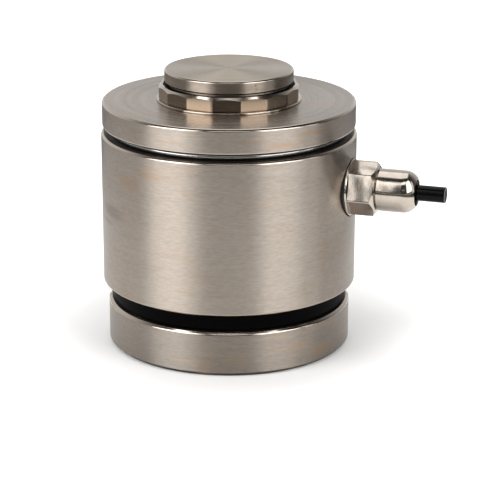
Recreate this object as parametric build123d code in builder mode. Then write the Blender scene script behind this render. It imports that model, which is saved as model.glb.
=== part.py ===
from build123d import *

import os

os.makedirs("parts", exist_ok=True)

# A canister load cell for compression, with a threaded cover, a lock nut and a loading button.
# Lengths are in millimetres. The cell's axis is Z, its underside is at Z = 0, its cable leaves along +X.

# Base plate
base_height = 15.9
base_top_edge = 0.9
base_foot_edge = 1.2
base_thread_diameter = 10.2
base_thread_depth = 10.0
spigot_diameter = 24.0
spigot_height = 2.0

# Screws that hold the base plate to the column's foot
screw_count = 4
screw_edge = 11.4
screw_diameter = 6.0
screw_head_diameter = 10.0
screw_head_height = 6.0
screw_head_recess = 0.8
screw_socket = 5.0
screw_socket_depth = 3.0
screw_reach = 9.5
screw_turn = 45.0

# Housing tube and its two grooves
housing_diameter = 90.0
housing_wall = 5.5
housing_length = 54.0
housing_edge = 0.7
foot_groove = 6.4
cover_groove = 2.3
foot_seal_width = 2.1
foot_seal_inset = 1.6
foot_seal_round = 0.9

# Sensing column: foot, rounded square shaft, head and threaded stem
foot_insertion = 5.6
shaft_width = 26.0
shaft_corner = 4.0
shaft_blend = 3.0
head_ledge = 4.0
head_height = 6.0
stem_inset = 4.6
stem_edge = 0.6
button_spigot_diameter = 16.0
button_spigot_length = 9.0

# Cover plate, its plug and the diaphragm below it
cover_inset = 0.45
cover_thickness = 9.0
cover_edge = 0.6
cover_shoulder = 0.35
plug_wall = 5.4
plug_depth = 4.6
diaphragm_thickness = 0.8
clamp_ring_width = 3.4
clamp_ring_height = 3.0

# Lock nut, its washer and the loading button
washer_margin = 0.65
washer_thickness = 0.7
nut_facets = 16
nut_wall = 1.8
nut_height = 5.1
nut_turn = 4.3
nut_slope_width = 1.0
nut_slope_height = 1.2
nut_recess = 1.7
button_diameter = 45.2
button_head = 4.6
button_top_edge = 0.45
button_under_edge = 0.5
button_neck_inset = 1.4
button_gap = 0.55
button_side_gap = 0.4

# Cable gland
gland_drop = 17.0
gland_thread_diameter = 12.0
spot_extra = 0.03
spot_margin = 0.4
gasket_inset = 0.1
gasket_thickness = 0.8
flange_margin = 0.3
flange_thickness = 0.7
hex_width = 16.7
hex_turn = 16.0
hex_length = 9.2
hex_slope_length = 1.3
hex_end_inset = 0.55
neck_wall = 1.65
neck_length = 8.0
neck_socket_depth = 6.5
cap_gap = 0.3
cap_wall = 1.05
cap_squeeze = 2.0
cap_lip = 3.6
cap_edge = 0.3
dome_length = 4.4
dome_land = 0.25
mouth_gap = 0.35
slip_washer_thickness = 0.8
slip_washer_gap = 0.15
grommet_wall = 1.85
grommet_step = 0.45
nose_setback = 1.15
grommet_round = 0.8

# Cable
cable_diameter = 5.5
jacket_wall = 0.5
screen_wall = 0.2
cable_overhang = 10.0
cable_inner_reach = 5.5
core_diameter = 1.2
core_ring_radius = 1.05
core_bend = 2.0
core_drop_inset = 4.0
core_drop_step = 2.0
core_setback = 2.0
screen_setback = 0.4

# Wiring board inside the housing
board_margin = 5.5
board_slack = 1.1
board_thickness = 1.6
pillar_count = 3
pillar_inset = 5.0
pillar_diameter = 5.0
pillar_height = 6.0
board_screw_diameter = 2.5
board_screw_head = 4.5
board_screw_head_height = 1.6
board_screw_reach = 4.0
pillar_turn = 45.0
pin_diameter = 1.2
pin_height = 1.2
resistor_diameter = 2.4
resistor_length = 6.5
resistor_inset = 7.5
resistor_leg = 0.6
resistor_lift = 1.6

# Strain gauges
gauge_width = 6.0
gauge_length = 9.0
gauge_thickness = 0.3
gauge_slots = 4
gauge_slot_width = 0.5
gauge_slot_share = 0.6
gauge_pair_gap = 1.2
lead_width = 3.0
lead_thickness = 0.3
lead_landing = 2.5

# Clearances between pieces
press_gap = 0.1
thread_gap = 0.05
seal_gap = 0.05
running_gap = 0.2

# Radii about the cell's axis
housing_radius = housing_diameter / 2
bore_radius = housing_radius - housing_wall
plug_radius = bore_radius - press_gap
foot_seal_radius = bore_radius + foot_seal_width
base_radius = foot_seal_radius + foot_seal_inset
cover_radius = housing_radius - cover_inset
cover_neck_radius = bore_radius + cover_shoulder
button_radius = button_diameter / 2
stem_radius = button_radius - stem_inset
head_radius = stem_radius + head_ledge
shaft_half = shaft_width / 2
spigot_radius = spigot_diameter / 2
screw_ring_radius = plug_radius - screw_edge
wave_radius = (head_radius + plug_radius - plug_wall) / 2
wave_width = (plug_radius - plug_wall - head_radius) / 2
wave_depth = wave_width / 4
button_neck_radius = button_radius - button_neck_inset
nut_rim_radius = button_radius + button_side_gap
nut_corner_radius = nut_rim_radius + nut_wall
washer_radius = nut_corner_radius + washer_margin
board_radius = bore_radius - board_margin
board_bore_radius = shaft_half * 2**0.5 + board_slack
pillar_ring_radius = board_radius - pillar_inset

# Radii about the gland's axis
cable_radius = cable_diameter / 2
grommet_radius = cable_radius + grommet_wall
nose_radius = grommet_radius - grommet_step
mouth_radius = nose_radius + mouth_gap
neck_radius = grommet_radius + seal_gap + neck_wall
cap_bore_radius = neck_radius + thread_gap
cap_radius = cap_bore_radius + cap_wall
hex_corner_radius = hex_width / 3**0.5
flange_radius = hex_corner_radius + flange_margin
gasket_radius = flange_radius - gasket_inset

# Heights, from the underside up
housing_bottom = base_height + foot_groove
housing_top = housing_bottom + housing_length
foot_top = housing_bottom + foot_insertion
cover_bottom = housing_top + cover_groove
cover_top = cover_bottom + cover_thickness
plug_bottom = housing_top - plug_depth
diaphragm_bottom = plug_bottom - diaphragm_thickness
head_bottom = diaphragm_bottom - head_height
washer_top = cover_top + washer_thickness
nut_top = washer_top + nut_height
nut_floor = nut_top - nut_recess
stem_top = nut_floor + running_gap
button_bottom = nut_top + button_gap
button_top = button_bottom + button_head
board_bottom = foot_top + pillar_height
board_top = board_bottom + board_thickness
gauge_middle = (board_top + head_bottom - shaft_blend + gauge_pair_gap + gauge_width) / 2
gland_height = housing_top - gland_drop

# Stations along the gland's axis, from the cell's axis out
seat_x = (housing_radius**2 - gasket_radius**2) ** 0.5 - spot_extra
flange_x = seat_x + gasket_thickness
hex_x = flange_x + flange_thickness
neck_x = hex_x + hex_length
neck_end_x = neck_x + neck_length
socket_x = neck_end_x - neck_socket_depth
cap_x = neck_x + cap_gap
shoulder_x = neck_end_x + cap_squeeze
cap_end_x = shoulder_x + cap_lip
grommet_end_x = shoulder_x - slip_washer_thickness - seal_gap
jacket_start_x = bore_radius - cable_inner_reach
core_first_drop = board_radius - core_drop_inset
cable_end_x = cap_end_x + cable_overhang


# Planes across and along the gland's axis
def across_gland(x):
    return Plane(origin=(x, 0, gland_height), x_dir=(0, 1, 0), z_dir=(1, 0, 0))


along_gland = Plane(origin=(0, 0, gland_height), x_dir=(1, 0, 0), z_dir=(0, -1, 0))
gland_axis = Axis((0, 0, gland_height), (1, 0, 0))


# Base plate: turned disc, counterbored from below, with a tapped hole in the middle
with BuildPart() as base_plate:
    with BuildSketch():
        Circle(base_radius)
    extrude(amount=base_height)
    chamfer(base_plate.edges().group_by(Axis.Z)[-1], length=base_top_edge)
    chamfer(base_plate.edges().group_by(Axis.Z)[0], length=base_foot_edge)
    with BuildSketch():
        Circle(base_thread_diameter / 2)
    extrude(amount=base_thread_depth, mode=Mode.SUBTRACT)
    with BuildSketch(Plane.XY.offset(base_height)):
        Circle(spigot_radius)
    extrude(amount=-spigot_height, mode=Mode.SUBTRACT)
    with BuildSketch():
        with PolarLocations(screw_ring_radius, screw_count, start_angle=screw_turn):
            Circle(screw_head_diameter / 2 + running_gap)
    extrude(amount=screw_head_recess + screw_head_height, mode=Mode.SUBTRACT)
    with BuildSketch():
        with PolarLocations(screw_ring_radius, screw_count, start_angle=screw_turn):
            Circle(screw_diameter / 2 + running_gap)
    extrude(amount=base_height, mode=Mode.SUBTRACT)
base_plate.part.label = "base_plate"
export_step(base_plate.part, "parts/base_plate.step")


# Base screws: socket heads sunk into the underside, shanks up into the foot
with BuildPart() as base_screws:
    with BuildSketch(Plane.XY.offset(screw_head_recess)):
        with PolarLocations(screw_ring_radius, screw_count, start_angle=screw_turn):
            Circle(screw_head_diameter / 2)
    extrude(amount=screw_head_height)
    with BuildSketch(Plane.XY.offset(screw_head_recess + screw_head_height)):
        with PolarLocations(screw_ring_radius, screw_count, start_angle=screw_turn):
            Circle(screw_diameter / 2)
    extrude(amount=base_height - screw_head_recess - screw_head_height + screw_reach)
    with BuildSketch(Plane.XY.offset(screw_head_recess)):
        with PolarLocations(screw_ring_radius, screw_count, start_angle=screw_turn):
            RegularPolygon(screw_socket / 2, 6, major_radius=False)
    extrude(amount=screw_socket_depth, mode=Mode.SUBTRACT)
base_screws.part.label = "base_screws"
export_step(base_screws.part, "parts/base_screws.step")


# Sensing column: the one turned and milled piece that carries the load.
# Its foot plugs the housing, its rounded square shaft holds the gauges, its stem carries the nut.
with BuildPart() as sensing_column:
    with BuildSketch(Plane.XY.offset(base_height)):
        Circle(plug_radius)
    extrude(amount=foot_top - base_height)
    with BuildSketch(Plane.XY.offset(base_height)):
        Circle(spigot_radius - thread_gap)
    extrude(amount=thread_gap - spigot_height)
    with BuildSketch(Plane.XY.offset(head_bottom)):
        Circle(head_radius)
    extrude(amount=head_height)
    with BuildSketch(Plane.XY.offset(foot_top)):
        RectangleRounded(shaft_width, shaft_width, shaft_corner)
    extrude(amount=head_bottom - foot_top)
    shaft_ends = [
        edge
        for edge in sensing_column.edges()
        if edge.center().Z in (foot_top, head_bottom)
        and max(abs(edge.center().X), abs(edge.center().Y)) <= shaft_half + thread_gap
        and edge.length < shaft_width
    ]
    fillet(shaft_ends, radius=shaft_blend)
    with BuildSketch(Plane.XY.offset(diaphragm_bottom)):
        Circle(stem_radius)
    extrude(amount=stem_top - diaphragm_bottom)
    chamfer(sensing_column.edges().group_by(Axis.Z)[-1], length=stem_edge)
    with BuildSketch(Plane.XY.offset(stem_top)):
        Circle(button_spigot_diameter / 2 + thread_gap)
    extrude(amount=-button_spigot_length - running_gap, mode=Mode.SUBTRACT)
    with BuildSketch(Plane.XY.offset(base_height)):
        with PolarLocations(screw_ring_radius, screw_count, start_angle=screw_turn):
            Circle(screw_diameter / 2 + thread_gap)
    extrude(amount=screw_reach + running_gap, mode=Mode.SUBTRACT)
sensing_column.part.label = "sensing_column"
export_step(sensing_column.part, "parts/sensing_column.step")


# Housing tube: broken edges, a spot face and a tapped hole for the gland
with BuildPart() as housing:
    with BuildSketch(Plane.XY.offset(housing_bottom)):
        Circle(housing_radius)
        Circle(bore_radius, mode=Mode.SUBTRACT)
    extrude(amount=housing_length)
    chamfer(housing.edges().filter_by(GeomType.CIRCLE).sort_by(SortBy.RADIUS)[-2:], length=housing_edge)
    with BuildSketch(across_gland(seat_x)):
        Circle(flange_radius + spot_margin)
    extrude(amount=housing_wall, mode=Mode.SUBTRACT)
    with BuildSketch(across_gland(seat_x)):
        Circle(gland_thread_diameter / 2 + thread_gap)
    extrude(amount=-2 * housing_wall, mode=Mode.SUBTRACT)
housing.part.label = "housing"
export_step(housing.part, "parts/housing.step")


# Rubber band that fills the groove between base plate and housing
with BuildPart() as foot_seal:
    with BuildSketch(Plane.XY.offset(base_height)):
        Circle(foot_seal_radius)
        Circle(bore_radius, mode=Mode.SUBTRACT)
    extrude(amount=foot_groove)
    fillet(foot_seal.edges().filter_by(GeomType.CIRCLE).sort_by(SortBy.RADIUS)[-2:], radius=foot_seal_round)
foot_seal.part.label = "foot_seal"
export_step(foot_seal.part, "parts/foot_seal.step")


# Clamp ring below the diaphragm's edge
with BuildPart() as clamp_ring:
    with BuildSketch(Plane.XY.offset(diaphragm_bottom - clamp_ring_height)):
        Circle(plug_radius)
        Circle(plug_radius - clamp_ring_width, mode=Mode.SUBTRACT)
    extrude(amount=clamp_ring_height)
clamp_ring.part.label = "clamp_ring"
export_step(clamp_ring.part, "parts/clamp_ring.step")


# Diaphragm: thin disc with one sagging wave, between the stem and the housing
with BuildPart() as diaphragm:
    with BuildSketch(Plane.XZ):
        with BuildLine():
            Polyline(
                (stem_radius + thread_gap, plug_bottom),
                (wave_radius - wave_width / 2, plug_bottom),
                (wave_radius - wave_width / 2 + wave_depth, plug_bottom - wave_depth),
                (wave_radius + wave_width / 2 - wave_depth, plug_bottom - wave_depth),
                (wave_radius + wave_width / 2, plug_bottom),
                (plug_radius, plug_bottom),
                (plug_radius, diaphragm_bottom),
                (wave_radius + wave_width / 2, diaphragm_bottom),
                (wave_radius + wave_width / 2 - wave_depth, diaphragm_bottom - wave_depth),
                (wave_radius - wave_width / 2 + wave_depth, diaphragm_bottom - wave_depth),
                (wave_radius - wave_width / 2, diaphragm_bottom),
                (stem_radius + thread_gap, diaphragm_bottom),
                close=True,
            )
        make_face()
    revolve(axis=Axis.Z)
diaphragm.part.label = "diaphragm"
export_step(diaphragm.part, "parts/diaphragm.step")


# Cover plate: disc with a shoulder that stands on the housing and a plug that enters it
with BuildPart() as cover_plate:
    with BuildSketch(Plane.XY.offset(cover_bottom)):
        Circle(cover_radius)
    extrude(amount=cover_thickness)
    chamfer(cover_plate.edges(), length=cover_edge)
    with BuildSketch(Plane.XY.offset(housing_top)):
        Circle(cover_neck_radius)
        Circle(plug_radius - plug_wall, mode=Mode.SUBTRACT)
    extrude(amount=cover_groove)
    with BuildSketch(Plane.XY.offset(plug_bottom)):
        Circle(plug_radius)
        Circle(plug_radius - plug_wall, mode=Mode.SUBTRACT)
    extrude(amount=plug_depth)
    with BuildSketch(Plane.XY.offset(cover_bottom)):
        Circle(stem_radius + thread_gap)
    extrude(amount=cover_thickness, mode=Mode.SUBTRACT)
cover_plate.part.label = "cover_plate"
export_step(cover_plate.part, "parts/cover_plate.step")


# O-ring in the groove below the cover
cover_ring_radius = cover_groove / 2 - seal_gap
with BuildPart() as cover_ring:
    with BuildSketch(Plane.XZ):
        with Locations((cover_neck_radius + seal_gap + cover_ring_radius, housing_top + cover_groove / 2)):
            Circle(cover_ring_radius)
    revolve(axis=Axis.Z)
cover_ring.part.label = "cover_ring"
export_step(cover_ring.part, "parts/cover_ring.step")


# Washer below the lock nut
with BuildPart() as nut_washer:
    with BuildSketch(Plane.XY.offset(cover_top)):
        Circle(washer_radius)
        Circle(stem_radius + running_gap, mode=Mode.SUBTRACT)
    extrude(amount=washer_thickness)
nut_washer.part.label = "nut_washer"
export_step(nut_washer.part, "parts/nut_washer.step")


# Lock nut: many-sided ring, its corners turned off to a cone above, recessed for the button
with BuildPart() as lock_nut:
    with BuildSketch(Plane.XY.offset(washer_top)):
        RegularPolygon(nut_corner_radius, nut_facets, rotation=nut_turn)
    extrude(amount=nut_height)
    with BuildSketch(Plane.XZ):
        with BuildLine():
            Polyline(
                (0, washer_top),
                (nut_corner_radius, washer_top),
                (nut_corner_radius, nut_top - nut_slope_height),
                (nut_corner_radius - nut_slope_width, nut_top),
                (0, nut_top),
                close=True,
            )
        make_face()
    revolve(axis=Axis.Z, mode=Mode.INTERSECT)
    with BuildSketch(Plane.XY.offset(nut_floor)):
        Circle(nut_rim_radius)
    extrude(amount=nut_recess, mode=Mode.SUBTRACT)
    with BuildSketch(Plane.XY.offset(washer_top)):
        Circle(stem_radius + thread_gap)
    extrude(amount=nut_height, mode=Mode.SUBTRACT)
lock_nut.part.label = "lock_nut"
export_step(lock_nut.part, "parts/lock_nut.step")


# Loading button: hardened disc on a neck, with a spigot that drops into the stem
with BuildPart() as load_button:
    with BuildSketch(Plane.XY.offset(button_bottom)):
        Circle(button_radius)
    extrude(amount=button_head)
    chamfer(load_button.edges().group_by(Axis.Z)[-1], length=button_top_edge)
    chamfer(load_button.edges().group_by(Axis.Z)[0], length=button_under_edge)
    with BuildSketch(Plane.XY.offset(stem_top)):
        Circle(button_neck_radius)
    extrude(amount=button_bottom - stem_top)
    with BuildSketch(Plane.XY.offset(stem_top)):
        Circle(button_spigot_diameter / 2)
    extrude(amount=-button_spigot_length)
load_button.part.label = "load_button"
export_step(load_button.part, "parts/load_button.step")


# Dust ring between the button's neck and the nut's rim
with BuildPart() as button_ring:
    with BuildSketch(Plane.XY.offset(nut_floor)):
        Circle(nut_rim_radius - seal_gap)
        Circle(button_neck_radius + seal_gap, mode=Mode.SUBTRACT)
    extrude(amount=nut_recess - running_gap)
button_ring.part.label = "button_ring"
export_step(button_ring.part, "parts/button_ring.step")


# Gland gasket on the spot face
with BuildPart() as gland_gasket:
    with BuildSketch(across_gland(seat_x)):
        Circle(gasket_radius)
        Circle(gland_thread_diameter / 2 + running_gap, mode=Mode.SUBTRACT)
    extrude(amount=gasket_thickness)
gland_gasket.part.label = "gland_gasket"
export_step(gland_gasket.part, "parts/gland_gasket.step")


# Gland body: threaded tail, thin flange, hexagon with a turned end, neck and grommet socket
with BuildPart() as gland_body:
    with BuildSketch(across_gland(hex_x)):
        RegularPolygon(hex_width / 2, 6, major_radius=False, rotation=hex_turn)
    extrude(amount=hex_length)
    with BuildSketch(along_gland):
        with BuildLine():
            Polyline(
                (hex_x, 0),
                (hex_x, hex_width),
                (neck_x - hex_slope_length, hex_corner_radius),
                (neck_x, hex_width / 2 - hex_end_inset),
                (neck_x, 0),
                close=True,
            )
        make_face()
    revolve(axis=gland_axis, mode=Mode.INTERSECT)
    with BuildSketch(across_gland(flange_x)):
        Circle(flange_radius)
    extrude(amount=flange_thickness)
    with BuildSketch(across_gland(bore_radius)):
        Circle(gland_thread_diameter / 2)
    extrude(amount=flange_x - bore_radius)
    with BuildSketch(across_gland(neck_x)):
        Circle(neck_radius)
    extrude(amount=neck_length)
    with BuildSketch(across_gland(bore_radius)):
        Circle(cable_radius + running_gap)
    extrude(amount=neck_end_x - bore_radius, mode=Mode.SUBTRACT)
    with BuildSketch(across_gland(neck_end_x)):
        Circle(grommet_radius + seal_gap)
    extrude(amount=-neck_socket_depth, mode=Mode.SUBTRACT)
gland_body.part.label = "gland_body"
export_step(gland_body.part, "parts/gland_body.step")


# Rubber grommet that grips the cable, with a rounded nose in the cap's mouth
with BuildPart() as grommet:
    with BuildSketch(across_gland(socket_x)):
        Circle(grommet_radius)
    extrude(amount=grommet_end_x - socket_x)
    with BuildSketch(across_gland(grommet_end_x)):
        Circle(nose_radius)
    extrude(amount=cap_end_x - nose_setback - grommet_end_x)
    fillet(grommet.edges().group_by(Axis.X)[-1], radius=grommet_round)
    with BuildSketch(across_gland(socket_x)):
        Circle(cable_radius + seal_gap)
    extrude(amount=cable_end_x - socket_x, mode=Mode.SUBTRACT)
grommet.part.label = "grommet"
export_step(grommet.part, "parts/grommet.step")


# Slip washer between grommet and cap
with BuildPart() as slip_washer:
    with BuildSketch(across_gland(shoulder_x - slip_washer_thickness)):
        Circle(neck_radius)
        Circle(nose_radius + slip_washer_gap, mode=Mode.SUBTRACT)
    extrude(amount=slip_washer_thickness)
slip_washer.part.label = "slip_washer"
export_step(slip_washer.part, "parts/slip_washer.step")


# Gland cap: smooth round nut with a domed end and an open mouth
with BuildPart() as gland_cap:
    with BuildSketch(along_gland):
        with BuildLine():
            Line((cap_x, cap_bore_radius), (cap_x, cap_radius - cap_edge))
            Line((cap_x, cap_radius - cap_edge), (cap_x + cap_edge, cap_radius))
            Line((cap_x + cap_edge, cap_radius), (cap_end_x - dome_length, cap_radius))
            TangentArc(
                (cap_end_x - dome_length, cap_radius),
                (cap_end_x, mouth_radius + dome_land),
                tangent=(1, 0),
            )
            Line((cap_end_x, mouth_radius + dome_land), (cap_end_x, mouth_radius))
            Line((cap_end_x, mouth_radius), (shoulder_x, mouth_radius))
            Line((shoulder_x, mouth_radius), (shoulder_x, cap_bore_radius))
            Line((shoulder_x, cap_bore_radius), (cap_x, cap_bore_radius))
        make_face()
    revolve(axis=gland_axis)
gland_cap.part.label = "gland_cap"
export_step(gland_cap.part, "parts/gland_cap.step")


# Cable jacket: straight tube from inside the housing to its cut end
with BuildPart() as cable_jacket:
    with BuildSketch(across_gland(jacket_start_x)):
        Circle(cable_radius)
        Circle(cable_radius - jacket_wall, mode=Mode.SUBTRACT)
    extrude(amount=cable_end_x - jacket_start_x)
cable_jacket.part.label = "cable_jacket"
export_step(cable_jacket.part, "parts/cable_jacket.step")


# Braided screen inside the jacket
screen_end_x = cable_end_x - screen_setback
with BuildPart() as cable_screen:
    with BuildSketch(across_gland(jacket_start_x)):
        Circle(cable_radius - jacket_wall)
        Circle(cable_radius - jacket_wall - screen_wall, mode=Mode.SUBTRACT)
    extrude(amount=screen_end_x - jacket_start_x)
cable_screen.part.label = "cable_screen"
export_step(cable_screen.part, "parts/cable_screen.step")


# Filler that holds the four cores apart
core_end_x = cable_end_x - core_setback
with BuildPart() as cable_filler:
    with BuildSketch(across_gland(jacket_start_x)):
        Circle(cable_radius - jacket_wall - screen_wall)
    extrude(amount=screen_end_x - jacket_start_x)
    with BuildSketch(across_gland(jacket_start_x)):
        with PolarLocations(core_ring_radius, 4, start_angle=45):
            Circle(core_diameter / 2 + seal_gap)
    extrude(amount=core_end_x - jacket_start_x, mode=Mode.SUBTRACT)
cable_filler.part.label = "cable_filler"
export_step(cable_filler.part, "parts/cable_filler.step")


# Four cores: out of the filler, round one bend and down to their pins on the board
core_side = core_ring_radius * 0.5**0.5
core_routes = {
    "core_red": (core_first_drop, -core_side, -core_side),
    "core_black": (core_first_drop, core_side, -core_side),
    "core_green": (core_first_drop - core_drop_step, -core_side, core_side),
    "core_white": (core_first_drop - core_drop_step, core_side, core_side),
}
for core_name, (drop_x, side_y, side_z) in core_routes.items():
    core_z = gland_height + side_z
    with BuildPart() as core:
        with BuildLine() as core_path:
            FilletPolyline(
                (core_end_x, side_y, core_z),
                (drop_x, side_y, core_z),
                (drop_x, side_y, board_top + pin_height),
                radius=core_bend,
            )
        with BuildSketch(Plane(origin=(core_end_x, side_y, core_z), z_dir=(-1, 0, 0))):
            Circle(core_diameter / 2)
        sweep(path=core_path.wire())
    core.part.label = core_name
    export_step(core.part, f"parts/{core_name}.step")


# Wiring board: ring round the shaft, on pillars
with BuildPart() as wiring_board:
    with BuildSketch(Plane.XY.offset(board_bottom)):
        Circle(board_radius)
        Circle(board_bore_radius, mode=Mode.SUBTRACT)
        with PolarLocations(pillar_ring_radius, pillar_count, start_angle=pillar_turn):
            Circle(board_screw_diameter / 2 + thread_gap, mode=Mode.SUBTRACT)
    extrude(amount=board_thickness)
wiring_board.part.label = "wiring_board"
export_step(wiring_board.part, "parts/wiring_board.step")


# Pillars below the board
with BuildPart() as board_pillars:
    with BuildSketch(Plane.XY.offset(foot_top)):
        with PolarLocations(pillar_ring_radius, pillar_count, start_angle=pillar_turn):
            Circle(pillar_diameter / 2)
            Circle(board_screw_diameter / 2 + thread_gap, mode=Mode.SUBTRACT)
    extrude(amount=pillar_height)
board_pillars.part.label = "board_pillars"
export_step(board_pillars.part, "parts/board_pillars.step")


# Screws through the board into the pillars
with BuildPart() as board_screws:
    with BuildSketch(Plane.XY.offset(board_top)):
        with PolarLocations(pillar_ring_radius, pillar_count, start_angle=pillar_turn):
            Circle(board_screw_head / 2)
    extrude(amount=board_screw_head_height)
    with BuildSketch(Plane.XY.offset(board_top)):
        with PolarLocations(pillar_ring_radius, pillar_count, start_angle=pillar_turn):
            Circle(board_screw_diameter / 2)
    extrude(amount=-board_thickness - board_screw_reach)
board_screws.part.label = "board_screws"
export_step(board_screws.part, "parts/board_screws.step")


# Solder pins below the cores
with BuildPart() as solder_pins:
    with BuildSketch(Plane.XY.offset(board_top)):
        with Locations(*[(drop_x, side_y) for drop_x, side_y, _ in core_routes.values()]):
            Circle(pin_diameter / 2)
    extrude(amount=pin_height)
solder_pins.part.label = "solder_pins"
export_step(solder_pins.part, "parts/solder_pins.step")


# Two trimming resistors, each on a pair of legs
leg_span = resistor_length - 2 * resistor_leg
resistor_row = board_radius - resistor_inset
with BuildPart() as trim_resistors:
    for side in (-1, 1):
        resistor_end = Plane(
            origin=(-resistor_length / 2, side * resistor_row, board_top + resistor_lift),
            x_dir=(0, 1, 0),
            z_dir=(1, 0, 0),
        )
        with BuildSketch(resistor_end):
            Circle(resistor_diameter / 2)
        extrude(amount=resistor_length)
        with BuildSketch(Plane.XY.offset(board_top)):
            with Locations((-leg_span / 2, side * resistor_row), (leg_span / 2, side * resistor_row)):
                Circle(resistor_leg / 2)
        extrude(amount=resistor_lift)
trim_resistors.part.label = "trim_resistors"
export_step(trim_resistors.part, "parts/trim_resistors.step")


# A plane on one flat of the shaft, its local Y pointing up
def on_shaft(turn, height):
    outward = Vector(1, 0, 0).rotate(Axis.Z, turn)
    return Plane(
        origin=outward * shaft_half + Vector(0, 0, height),
        x_dir=Vector(0, 1, 0).rotate(Axis.Z, turn),
        z_dir=outward,
    )


# One foil gauge: a thin patch with slots between the lines of its grid
def gauge_patch(plane, width, length, slots_upright):
    slot_pitch = gauge_width / (gauge_slots + 1)
    slot_length = gauge_length * gauge_slot_share
    with BuildPart() as patch:
        with BuildSketch(plane):
            Rectangle(width, length)
            if slots_upright:
                with GridLocations(slot_pitch, 0, gauge_slots, 1):
                    Rectangle(gauge_slot_width, slot_length, mode=Mode.SUBTRACT)
            else:
                with GridLocations(0, slot_pitch, 1, gauge_slots):
                    Rectangle(slot_length, gauge_slot_width, mode=Mode.SUBTRACT)
        extrude(amount=gauge_thickness)
    return patch.part


# Gauges and leads on the four flats
cross_gauge_middle = gauge_middle - gauge_length / 2 - gauge_pair_gap - gauge_width / 2
lead_top = cross_gauge_middle - gauge_width / 2
for number in range(4):
    turn = 90 * number
    axial_gauge = gauge_patch(on_shaft(turn, gauge_middle), gauge_width, gauge_length, True)
    axial_gauge.label = f"axial_gauge_{number + 1}"
    export_step(axial_gauge, f"parts/{axial_gauge.label}.step")

    cross_gauge = gauge_patch(on_shaft(turn, cross_gauge_middle), gauge_length, gauge_width, False)
    cross_gauge.label = f"cross_gauge_{number + 1}"
    export_step(cross_gauge, f"parts/{cross_gauge.label}.step")

    outward = Vector(1, 0, 0).rotate(Axis.Z, turn)
    with BuildPart() as gauge_lead:
        with BuildSketch(Plane(origin=(0, 0, 0), x_dir=outward, z_dir=outward.cross(Vector(0, 0, 1)))):
            with BuildLine():
                Polyline(
                    (shaft_half, lead_top),
                    (shaft_half, board_top),
                    (board_bore_radius + lead_landing, board_top),
                    (board_bore_radius + lead_landing, board_top + lead_thickness),
                    (shaft_half + lead_thickness, board_top + lead_thickness),
                    (shaft_half + lead_thickness, lead_top),
                    close=True,
                )
            make_face()
        extrude(amount=lead_width / 2, both=True)
    gauge_lead.part.label = f"gauge_lead_{number + 1}"
    export_step(gauge_lead.part, f"parts/{gauge_lead.part.label}.step")
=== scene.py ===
import math

import bmesh
import bpy
from mathutils import Matrix, Vector


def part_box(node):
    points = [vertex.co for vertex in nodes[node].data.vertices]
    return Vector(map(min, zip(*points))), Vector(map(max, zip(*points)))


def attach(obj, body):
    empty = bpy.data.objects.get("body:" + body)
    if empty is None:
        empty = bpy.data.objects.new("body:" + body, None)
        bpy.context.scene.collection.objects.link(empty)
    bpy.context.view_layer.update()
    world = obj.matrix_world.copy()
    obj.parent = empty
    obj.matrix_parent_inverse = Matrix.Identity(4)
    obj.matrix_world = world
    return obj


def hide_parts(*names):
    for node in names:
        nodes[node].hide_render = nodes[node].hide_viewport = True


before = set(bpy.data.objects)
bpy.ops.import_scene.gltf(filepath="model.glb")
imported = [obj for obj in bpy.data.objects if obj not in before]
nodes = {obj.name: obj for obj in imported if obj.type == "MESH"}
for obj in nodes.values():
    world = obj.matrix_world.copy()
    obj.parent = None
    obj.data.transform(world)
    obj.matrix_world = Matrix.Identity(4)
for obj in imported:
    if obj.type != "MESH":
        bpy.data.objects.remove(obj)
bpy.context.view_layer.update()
mm = 0.001
print("frame loaded:", len(nodes), "nodes")

# Camera, at the photograph's angle; the cable's gland points right and a little to the front
cameraView = {
    "azimuth": 18.0,
    "elevation": 18.0,
    "distance": 690 * mm,
    "aimHeight": 31.7 * mm,
    "lens": 138.2,
    "sensor": 36.0,
    "shiftRight": 0.042,
    "clipRange": (0.01, 50.0),
}


def heading(azimuth, elevation=0.0):
    # unit vector from the cell towards someone standing at that azimuth, 0 being on the -Y side
    a = math.radians(azimuth)
    e = math.radians(elevation)
    return Vector((math.sin(a) * math.cos(e), -math.cos(a) * math.cos(e), math.sin(e)))


def placed(name, data):
    # a new object in the scene, at the origin
    made = bpy.data.objects.new(name, data)
    bpy.context.scene.collection.objects.link(made)
    return made


def makeCamera(view):
    data = bpy.data.cameras.new("camera")
    data.lens = view["lens"]
    data.sensor_width = view["sensor"]
    data.shift_x = view["shiftRight"]
    data.clip_start, data.clip_end = view["clipRange"]
    camera = placed("camera", data)
    back = heading(view["azimuth"], view["elevation"])
    camera.location = Vector((0, 0, view["aimHeight"])) + back * view["distance"]
    camera.rotation_mode = "QUATERNION"
    camera.rotation_quaternion = (-back).to_track_quat("-Z", "Y")
    bpy.context.scene.camera = camera


makeCamera(cameraView)
print("camera placed")


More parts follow.
